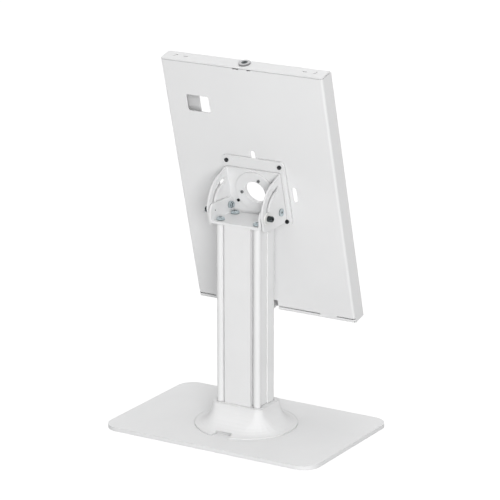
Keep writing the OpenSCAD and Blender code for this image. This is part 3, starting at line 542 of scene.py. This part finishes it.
# %% [markdown]
# The pivot bolts are 5 mm thick and have a fine thread. Where a bolt's free end starts and where
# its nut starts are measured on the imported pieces, so the thread fills just that length.

# %% Threads on the free ends of the pivot bolts
BOLT_RADIUS, BOLT_PITCH, BOLT_RIDGE = 2.5 * MM, 0.5 * MM, 0.12 * MM
BOLT_PLAIN_END = 0.1 * MM


def inner_end(node):
    """How far from the middle plane a pair of mirrored pieces starts."""
    return min(abs(v.co.x) for v in nodes[node].data.vertices)


pivot = Vector(joints["tilt"]["pos_m"])
bolt_start = inner_end("pivot_bolts") + BOLT_PLAIN_END
free = inner_end("pivot_nuts") - bolt_start
for side, word in ((1, "right"), (-1, "left")):
    start = Vector((side * bolt_start, pivot.y, pivot.z))
    wound_thread(f"pivot_bolt_thread_{word}", start, Vector((side, 0, 0)), free, BOLT_RADIUS,
                 BOLT_PITCH, bright_zinc, "stand", depth=BOLT_RIDGE)
print(f"the pivot bolts stand {free * 1000:.1f} mm out of their nuts")

# %% [markdown]
# The lock's barrel has a coarser thread for its flat nut. It starts a little above the barrel's
# lower end, which is measured along the lock's axis, and it stops before it reaches the nut.

# %% Thread on the lock's barrel
BARREL_RADIUS, BARREL_PITCH, BARREL_RIDGE = 6.0 * MM, 1.0 * MM, 0.18 * MM
BARREL_PLAIN_END, BARREL_THREAD = 0.6 * MM, 5.4 * MM
barrel = nodes["lock_barrel"].data.vertices
lock_axis = -Vector(joints["lock_turn"]["axis"]).normalized()
lock_head = Vector(joints["lock_turn"]["pos_m"])
barrel_low = min((v.co - lock_head).dot(lock_axis) for v in barrel)
thread_start = lock_head + lock_axis * (barrel_low + BARREL_PLAIN_END)
wound_thread("lock_barrel_thread", thread_start, lock_axis, BARREL_THREAD, BARREL_RADIUS,
             BARREL_PITCH, chrome, "cover", depth=BARREL_RIDGE)
print(f"the barrel reaches {-barrel_low * 1000:.0f} mm below the cover")

# %% [markdown]
# The photograph is a studio picture on pure white with even greys and dark, crisp gaps. The floor
# glows like a light table, so that it stays pure white. Its glow would also fill the gaps from
# below, so the floor is hidden from diffuse and shadow rays. Two soft boxes light the stand: one
# low beside the camera, which makes the faces turned to it the palest, and one overhead for the top
# faces. Seen from the front, the low box would flare in the base plate like the sun in a wet road.
# So each box is two lamps, and glossy faces may mirror only a share of what matt faces receive.

# %% Floor and lights
FLOOR_GAP = 0.2 * MM
FLOOR_HALF = 6.0


def pale_floor():
    """A glowing floor, a hair under the feet."""
    work = bmesh.new()
    bmesh.ops.create_grid(work, x_segments=8, y_segments=8, size=FLOOR_HALF)
    mesh = bpy.data.meshes.new("studio_floor")
    work.to_mesh(mesh)
    work.free()
    finish = Finish("studio_floor_white", specular=0.1)
    finish.colour(finish.mix(finish.noise(1.5), (0.05, 0.05, 0.05), (0.06, 0.06, 0.06)))
    finish.shader.inputs["Roughness"].default_value = 0.9  # dull, and nearly all glow
    finish.shader.inputs["Emission Color"].default_value = (1.0, 1.0, 1.0, 1.0)
    finish.shader.inputs["Emission Strength"].default_value = 1.0
    mesh.materials.append(finish.material)
    floor = bpy.data.objects.new("studio_floor", mesh)
    floor.location.z = cad_low.z - FLOOR_GAP
    floor.visible_diffuse = floor.visible_shadow = False
    bpy.context.collection.objects.link(floor)
    floor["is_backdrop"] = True


def soft_box(name, place, aim, size, watts, mirrored):
    """Lights matt faces with all its watts, and glossy ones with only a share of them."""
    for kind, energy in (("diffuse", watts), ("glossy", watts * mirrored)):
        light = bpy.data.lights.new(f"{name}_{kind}", "AREA")
        light.shape, light.size, light.energy = "SQUARE", size, energy
        lamp = bpy.data.objects.new(light.name, light)
        lamp.location = place
        lamp.rotation_euler = (Vector(aim) - Vector(place)).to_track_quat("-Z", "Y").to_euler()
        lamp.visible_camera = False
        lamp.visible_diffuse, lamp.visible_glossy = kind == "diffuse", kind == "glossy"
        bpy.context.collection.objects.link(lamp)


pale_floor()
middle = (cad_low + cad_high) / 2
soft_box("beside_camera", (-1.73, 2.37, 0.85), middle, size=1.2, watts=70.5, mirrored=0.2)
soft_box("overhead", (0.0, 0.0, 3.0), middle, size=2.5, watts=18.8, mirrored=1.0)
print("a glowing floor and two soft boxes")

# %% [markdown]
# A white room also sends light back from its walls, and a plain grey sky would do that too evenly.
# So the sky is four soft lobes: from below, from above, from the wall behind the stand and a little
# from the left. Each lobe is strongest in its own direction and gone at right angles to it. The
# side where the camera stands is left dark, and that gives the chrome and zinc their black parts.

# %% The room's own light, as four lobes of sky
SKY_LOBES = {
    "from_below": ((0.0, 0.0, -1.0), 0.9),
    "from_above": ((0.0, 0.0, 1.0), 0.64),
    "from_the_wall_behind": ((0.516, -0.857, 0.0), 0.81),
    "from_the_left": ((0.857, 0.516, 0.0), 0.11),
}
world = bpy.data.worlds.new("studio_air")
world.use_nodes = True
sky = world.node_tree
toward = sky.nodes.new("ShaderNodeTexCoord").outputs["Generated"]
total = None
for name, (direction, strength) in SKY_LOBES.items():
    facing = sky.nodes.new("ShaderNodeVectorMath")
    facing.operation, facing.name = "DOT_PRODUCT", name
    facing.inputs[1].default_value = direction
    sky.links.new(toward, facing.inputs[0])
    lobe = sky.nodes.new("ShaderNodeMapRange")  # it clamps, so no lobe takes light away
    lobe.inputs["To Max"].default_value = strength
    sky.links.new(facing.outputs["Value"], lobe.inputs["Value"])
    if total is None:
        total = lobe.outputs["Result"]
        continue
    both = sky.nodes.new("ShaderNodeMath")
    both.operation = "ADD"
    sky.links.new(lobe.outputs["Result"], both.inputs[0])
    sky.links.new(total, both.inputs[1])
    total = both.outputs["Value"]
sky.links.new(total, sky.nodes["Background"].inputs["Strength"])
sky.nodes["Background"].inputs["Color"].default_value = (1.0, 1.0, 1.0, 1.0)
bpy.context.scene.world = world
bpy.context.scene.view_settings.view_transform = "Standard"
print(f"a sky of {len(SKY_LOBES)} soft lobes")

# %% [markdown]
# The camera was found by matching the stand's straight edges to the photograph. It stands far off
# with a long lens, so upright edges stay nearly parallel. A long lens from the right place is
# better than a wide one nearer by, because the nearness itself changes which faces can be seen.

# %% The camera
LENS_MM, SENSOR_MM = 201.3, 36.0
CAMERA_PLACE = (-1.70105, 2.80858, 1.18468)
AZIMUTH, ELEVATION = 211.12, 16.21
camera_data = bpy.data.cameras.new("photo_camera")
camera_data.lens = LENS_MM
camera_data.sensor_width = SENSOR_MM
camera = bpy.data.objects.new("photo_camera", camera_data)
camera.location = CAMERA_PLACE
camera.rotation_euler = (math.radians(90.0 - ELEVATION), 0.0, math.radians(AZIMUTH))
bpy.context.collection.objects.link(camera)
bpy.context.scene.camera = camera
print(f"camera {camera.location.length:.2f} m from the foot of the stand")

# %% [markdown]
# The dressed stand has to keep the imported model's size. The last call measures every piece and
# prints the box in millimetres, so that a piece that reaches too far can be noticed.

# %% Measure the dressed stand
low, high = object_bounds()
print(f"visual model {[round((b - a) * 1000) for a, b in zip(low, high)]} mm")
